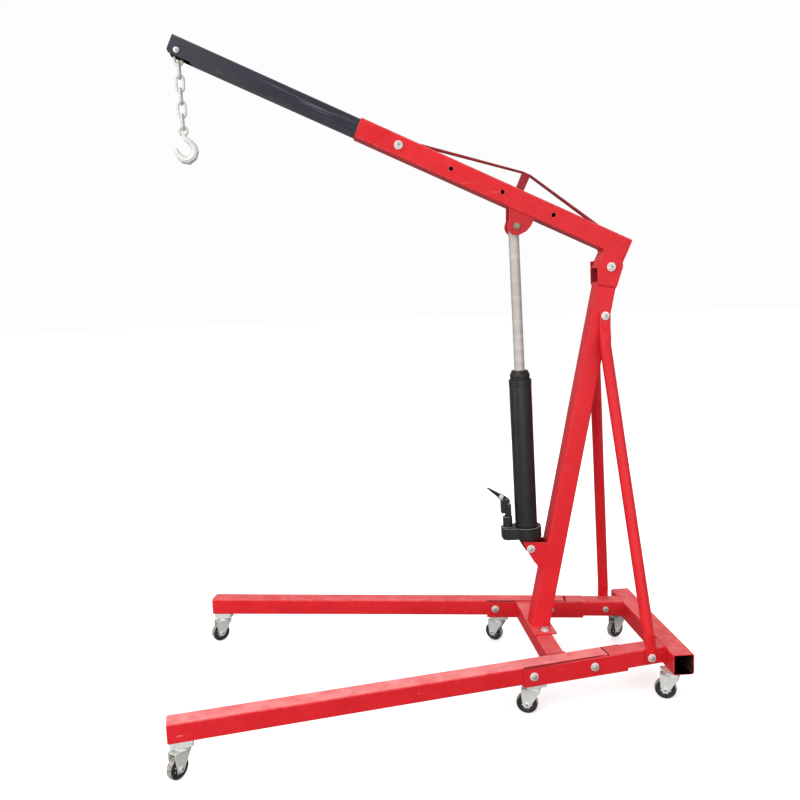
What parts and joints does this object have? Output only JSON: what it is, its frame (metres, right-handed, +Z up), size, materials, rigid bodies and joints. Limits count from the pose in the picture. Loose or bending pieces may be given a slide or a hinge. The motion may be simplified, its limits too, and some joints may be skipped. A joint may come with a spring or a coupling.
{
  "type": "engine hoist",
  "caption": "Folding workshop crane on swivel casters: leaning mast with rear braces, long-ram jack, and a trussed telescopic boom that hangs a chain and hook.",
  "frame": {"origin": "centre of the back face of the rear cross tube, 138 mm above the floor", "axes": "+Z up, the boom and the legs point along -X, and the pieces named left are at -Y"},
  "size_m": [1.6628, 1.019, 2.1821],
  "materials": {
    "red_paint": "gloss red enamel over welded steel, scuffed along the edges",
    "dark_paint": "blue-black enamel, rubbed where it slides in the boom",
    "jack_black": "satin black enamel, small chips",
    "zinc": "bright zinc plate",
    "ram_steel": "ground steel, lightly oiled",
    "wheel_black": "moulded nylon, black"
  },
  "bodies": {
    "base": {"boom_pivot_bolt": "zinc", "brace_top_bolt": "zinc", "cross_member": "red_paint", "jack_foot_pin": "zinc", "left_brace": "red_paint", "left_brace_bolt": "zinc", "left_foot_bolt": "zinc", "left_leg_lock_bolt": "zinc", "left_leg_pivot_bolt": "zinc", "left_side_channel": "red_paint", "left_stub_tube": "red_paint", "mast": "red_paint", "middle_left_caster_plate": "zinc", "middle_right_caster_plate": "zinc", "rear_cross_tube": "red_paint", "rear_left_caster_plate": "zinc", "rear_right_caster_plate": "zinc", "right_brace": "red_paint", "right_brace_bolt": "zinc", "right_foot_bolt": "zinc", "right_leg_lock_bolt": "zinc", "right_leg_pivot_bolt": "zinc", "right_side_channel": "red_paint", "right_stub_tube": "red_paint"},
    "boom": {"boom_tube": "red_paint", "truss_strap": "red_paint", "left_ram_pin": "zinc", "right_ram_pin": "zinc", "extension_lock_bolt": "zinc"},
    "extension": {"boom_extension": "dark_paint", "tip_bolt": "zinc"},
    "link_1": {"chain_link_1": "zinc"},
    "link_2": {"chain_link_2": "zinc"},
    "link_3": {"chain_link_3": "zinc"},
    "link_4": {"chain_link_4": "zinc"},
    "link_5": {"chain_link_5": "zinc"},
    "link_6": {"chain_link_6": "zinc"},
    "hook": {"hook": "zinc"},
    "jack": {"jack_base": "jack_black", "jack_cylinder": "jack_black", "jack_gland": "jack_black"},
    "ram": {"jack_ram": "ram_steel"},
    "pump_lever": {"pump_lever": "jack_black"},
    "pump_plunger": {"pump_plunger": "zinc"},
    "left_leg": {"left_leg": "red_paint", "front_left_caster_plate": "zinc"},
    "right_leg": {"right_leg": "red_paint", "front_right_caster_plate": "zinc"},
    "front_left_fork": {"front_left_caster_fork": "zinc"},
    "front_left_wheel": {"front_left_caster_wheel": "wheel_black"},
    "front_right_fork": {"front_right_caster_fork": "zinc"},
    "front_right_wheel": {"front_right_caster_wheel": "wheel_black"},
    "middle_left_fork": {"middle_left_caster_fork": "zinc"},
    "middle_left_wheel": {"middle_left_caster_wheel": "wheel_black"},
    "middle_right_fork": {"middle_right_caster_fork": "zinc"},
    "middle_right_wheel": {"middle_right_caster_wheel": "wheel_black"},
    "rear_left_fork": {"rear_left_caster_fork": "zinc"},
    "rear_left_wheel": {"rear_left_caster_wheel": "wheel_black"},
    "rear_right_fork": {"rear_right_caster_fork": "zinc"},
    "rear_right_wheel": {"rear_right_caster_wheel": "wheel_black"}
  },
  "joints": [
    {"name": "boom_lift", "type": "hinge", "parent": "base", "child": "boom", "pos_m": [-0.189, 0, 1.289], "axis": [0, 1, 0], "range_deg": [-50, 0]},
    {"name": "boom_extend", "type": "slide", "parent": "boom", "child": "extension", "axis": [0.9085, 0, -0.4179], "range_m": [0, 0.5562]},
    {"name": "jack_tilt", "type": "hinge", "parent": "base", "child": "jack", "pos_m": [-0.471, 0, 0.331], "axis": [0, 1, 0], "range_deg": [-0.6, 0.1]},
    {"name": "ram_extend", "type": "slide", "parent": "jack", "child": "ram", "axis": [-0.0301, 0, 0.9995], "range_m": [-0.2945, 0.001]},
    {"name": "lever_stroke", "type": "hinge", "parent": "jack", "child": "pump_lever", "pos_m": [-0.54117, 0, 0.48496], "axis": [0, 1, 0], "range_deg": [-6, 24]},
    {"name": "plunger_stroke", "type": "slide", "parent": "jack", "child": "pump_plunger", "axis": [-0.0301, 0, 0.9995], "range_m": [-0.001, 0.003]},
    {"name": "chain_hang", "type": "hinge", "parent": "extension", "child": "link_1", "pos_m": [-1.56651, 0, 1.99501], "axis": [0, 1, 0], "range_deg": [0, 50]},
    {"name": "tilt_link_2", "type": "hinge", "parent": "link_1", "child": "link_2", "pos_m": [-1.56651, 0, 1.95681], "axis": [1, 0, 0], "range_deg": [-25, 25]},
    {"name": "tilt_link_3", "type": "hinge", "parent": "link_2", "child": "link_3", "pos_m": [-1.56651, 0, 1.91761], "axis": [0, 1, 0], "range_deg": [-25, 25]},
    {"name": "tilt_link_4", "type": "hinge", "parent": "link_3", "child": "link_4", "pos_m": [-1.56651, 0, 1.87841], "axis": [1, 0, 0], "range_deg": [-25, 25]},
    {"name": "tilt_link_5", "type": "hinge", "parent": "link_4", "child": "link_5", "pos_m": [-1.56651, 0, 1.83921], "axis": [0, 1, 0], "range_deg": [-25, 25]},
    {"name": "tilt_link_6", "type": "hinge", "parent": "link_5", "child": "link_6", "pos_m": [-1.56651, 0, 1.80001], "axis": [1, 0, 0], "range_deg": [-25, 25]},
    {"name": "hook_swing", "type": "hinge", "parent": "link_6", "child": "hook", "pos_m": [-1.56651, 0, 1.76081], "axis": [0, 1, 0], "range_deg": [-35, 35]},
    {"name": "fold_left_leg", "type": "hinge", "parent": "base", "child": "left_leg", "pos_m": [-0.33103, -0.2407, 0.0055], "axis": [-0.1736, 0.9848, 0], "range_deg": [0, 90]},
    {"name": "fold_right_leg", "type": "hinge", "parent": "base", "child": "right_leg", "pos_m": [-0.33103, 0.2407, 0.0055], "axis": [0.1736, 0.9848, 0], "range_deg": [0, 90]},
    {"name": "swivel_front_left", "type": "hinge", "parent": "left_leg", "child": "front_left_fork", "pos_m": [-1.60872, -0.46599, -0.0403], "axis": [0, 0, 1], "continuous": true},
    {"name": "wheel_front_left", "type": "hinge", "parent": "front_left_fork", "child": "front_left_wheel", "pos_m": [-1.62218, -0.4834, -0.1025], "axis": [0.7912, -0.6115, 0], "continuous": true},
    {"name": "swivel_front_right", "type": "hinge", "parent": "right_leg", "child": "front_right_fork", "pos_m": [-1.60872, 0.46599, -0.0403], "axis": [0, 0, 1], "continuous": true},
    {"name": "wheel_front_right", "type": "hinge", "parent": "front_right_fork", "child": "front_right_wheel", "pos_m": [-1.6278, 0.45502, -0.1025], "axis": [0.4985, -0.8669, 0], "continuous": true},
    {"name": "swivel_middle_left", "type": "hinge", "parent": "base", "child": "middle_left_fork", "pos_m": [-0.52593, -0.27506, -0.0403], "axis": [0, 0, 1], "continuous": true},
    {"name": "wheel_middle_left", "type": "hinge", "parent": "middle_left_fork", "child": "middle_left_wheel", "pos_m": [-0.54685, -0.26826, -0.1025], "axis": [-0.309, -0.9511, 0], "continuous": true},
    {"name": "swivel_middle_right", "type": "hinge", "parent": "base", "child": "middle_right_fork", "pos_m": [-0.52593, 0.27506, -0.0403], "axis": [0, 0, 1], "continuous": true},
    {"name": "wheel_middle_right", "type": "hinge", "parent": "middle_right_fork", "child": "middle_right_wheel", "pos_m": [-0.54278, 0.2892, -0.1025], "axis": [-0.6428, -0.766, 0], "continuous": true},
    {"name": "swivel_rear_left", "type": "hinge", "parent": "base", "child": "rear_left_fork", "pos_m": [-0.053, -0.2515, -0.0403], "axis": [0, 0, 1], "continuous": true},
    {"name": "wheel_rear_left", "type": "hinge", "parent": "rear_left_fork", "child": "rear_left_wheel", "pos_m": [-0.07325, -0.2429, -0.1025], "axis": [-0.3907, -0.9205, 0], "continuous": true},
    {"name": "swivel_rear_right", "type": "hinge", "parent": "base", "child": "rear_right_fork", "pos_m": [-0.053, 0.2515, -0.0403], "axis": [0, 0, 1], "continuous": true},
    {"name": "wheel_rear_right", "type": "hinge", "parent": "rear_right_fork", "child": "rear_right_wheel", "pos_m": [-0.07286, 0.24203, -0.1025], "axis": [0.4305, -0.9026, 0], "continuous": true}
  ],
  "couplings": [
    {"joint": "jack_tilt", "follows": "boom_lift", "ratio": 0.00792},
    {"joint": "ram_extend", "follows": "boom_lift", "m_per_rad": 0.33505},
    {"joint": "chain_hang", "follows": "boom_lift", "ratio": -1},
    {"joint": "plunger_stroke", "follows": "lever_stroke", "m_per_rad": 0.005}
  ]
}
